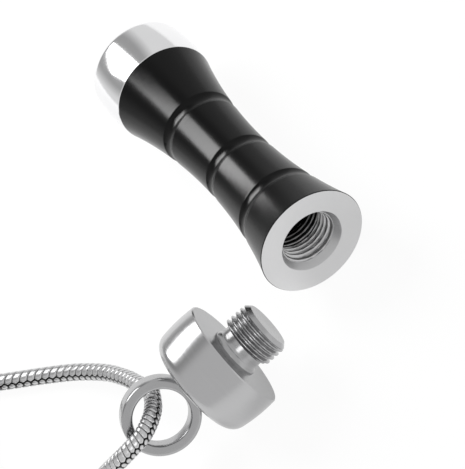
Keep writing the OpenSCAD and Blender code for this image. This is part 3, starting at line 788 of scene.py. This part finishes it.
# floor: a flat grid of two by two squares; its shader mixes paper with white by the larger of the two lifts
def makeFloor(s):
    mesh = bpy.data.meshes.new("paleFloor")
    reach = np.linspace(-s["floor"], s["floor"], 3)
    x, y = np.meshgrid(reach, reach, indexing="ij")
    points = np.stack([x, y, 0 * x - s["drop"]], -1).reshape(-1, 3)
    corner = np.array([0, 3, 4, 1])
    quads = (np.array([0, 1, 3, 4])[:, None] + corner[None]).tolist()
    mesh.from_pydata(points.tolist(), [], quads)
    material, tree, shader = newMaterial("palePaper")
    shader.inputs["Base Color"].default_value = (s["albedo"], s["albedo"], s["albedo"], 1.0)
    shader.inputs["Roughness"].default_value = s["paperRoughness"]
    shader.inputs["Specular IOR Level"].default_value = s["paperGloss"]
    paths = addNode(tree, "ShaderNodeLightPath")
    seen = mathNode(tree, "MULTIPLY", paths.outputs["Is Camera Ray"], s["lift"])
    mirrored = mathNode(tree, "MULTIPLY", paths.outputs["Is Glossy Ray"], s["mirrorLift"])
    share = mathNode(tree, "MAXIMUM", seen, mirrored)
    glow = addNode(tree, "ShaderNodeEmission", Strength=1.0)
    mixShaders(tree, share, shader.outputs["BSDF"], glow.outputs["Emission"], "Material Output")
    mesh.materials.append(material)
    floor = bpy.data.objects.new("paleFloor", mesh)
    scene.collection.objects.link(floor)


# a pale room, darker round the softbox by the cosine to its way; diffuse light from it is kept plain
def makeWorld(s, lampWay):
    world = bpy.data.worlds.new("paleRoom")
    world.use_nodes = True
    tree = world.node_tree
    place = addNode(tree, "ShaderNodeTexCoord")
    facing = addNode(tree, "ShaderNodeVectorMath", operation="DOT_PRODUCT")
    facing.inputs[1].default_value = Vector(lampWay).normalized()
    tree.links.new(place.outputs["Generated"], facing.inputs[0])
    mirrored = spread(tree, facing.outputs["Value"], s["room"], s["shade"], s["shadeTo"], s["shadeFrom"])
    paths = addNode(tree, "ShaderNodeLightPath")
    level = addNode(tree, "ShaderNodeMix", data_type="FLOAT")
    level.inputs["A"].default_value = s["roomFill"]
    tree.links.new(mirrored, level.inputs["B"])
    tree.links.new(paths.outputs["Is Glossy Ray"], level.inputs["Factor"])
    room = tree.nodes["Background"]
    room.inputs["Color"].default_value = white
    tree.links.new(level.outputs["Result"], room.inputs["Strength"])
    plain = addNode(tree, "ShaderNodeBackground", Strength=s["background"], Color=white)
    backgrounds = room.outputs["Background"], plain.outputs["Background"]
    mixShaders(tree, paths.outputs["Is Camera Ray"], *backgrounds, "World Output")
    scene.world = world


# one softbox behind; the bright metal has scrims before it, so weaker lamps in the same place light those
# pieces alone, and a small card in front gives the stud and the front run the light line along their sides
metalNodes = [nodeName for nodeName, finish in fittingFinish.items() if finish is not tieBand]
metalFittings = [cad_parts[nodeName] for nodeName in metalNodes]
dullLit = (leftChain, frontChain, studShell, springStrip, *metalFittings)
brightLit = (endPlugShell, capShell, ringShell)
behind = {"way": (-0.69, -0.2, 0.68), "far": 0.4, "size": (0.22, 0.22)}
softboxes = {
    "backSoftbox": {**behind, "radiance": 15.0, "state": "EXCLUDE", "pieces": (*dullLit, *brightLit)},
    "scrimSoftbox": {**behind, "radiance": 2.5, "state": "INCLUDE", "pieces": dullLit},
    "thinScrimSoftbox": {**behind, "radiance": 4.5, "state": "INCLUDE", "pieces": brightLit},
    "frontCard": {
        "way": (0.647, -0.25, 0.719), "far": 0.5, "size": (0.16, 0.16), "radiance": 2.2,
        "state": "INCLUDE", "pieces": (studShell, frontChain),
    },
}


# softbox: a rectangle far along its way from the aim, facing back; its power is pi times area times radiance
def makeSoftboxes(boxes, aim):
    for name, box in boxes.items():
        data = bpy.data.lights.new(name, "AREA")
        data.shape = "RECTANGLE"
        data.size, data.size_y = box["size"]
        data.energy = np.pi * box["size"][0] * box["size"][1] * box["radiance"]
        lamp = bpy.data.objects.new(name, data)
        way = Vector(box["way"]).normalized()
        facing = way.to_track_quat("Z", "Y").to_matrix().to_4x4()
        lamp.matrix_world = Matrix.Translation(Vector(aim) + way * box["far"]) @ facing
        scene.collection.objects.link(lamp)
        group = bpy.data.collections.new(name + "Pieces")
        for piece in box["pieces"]:
            group.objects.link(piece)
        lamp.light_linking.receiver_collection = group
        for member in group.collection_objects:
            member.light_linking.link_state = box["state"]


makeFloor(studio)
makeWorld(studio, behind["way"])
makeSoftboxes(softboxes, studio["aim"])
print("floor, world and lights set")
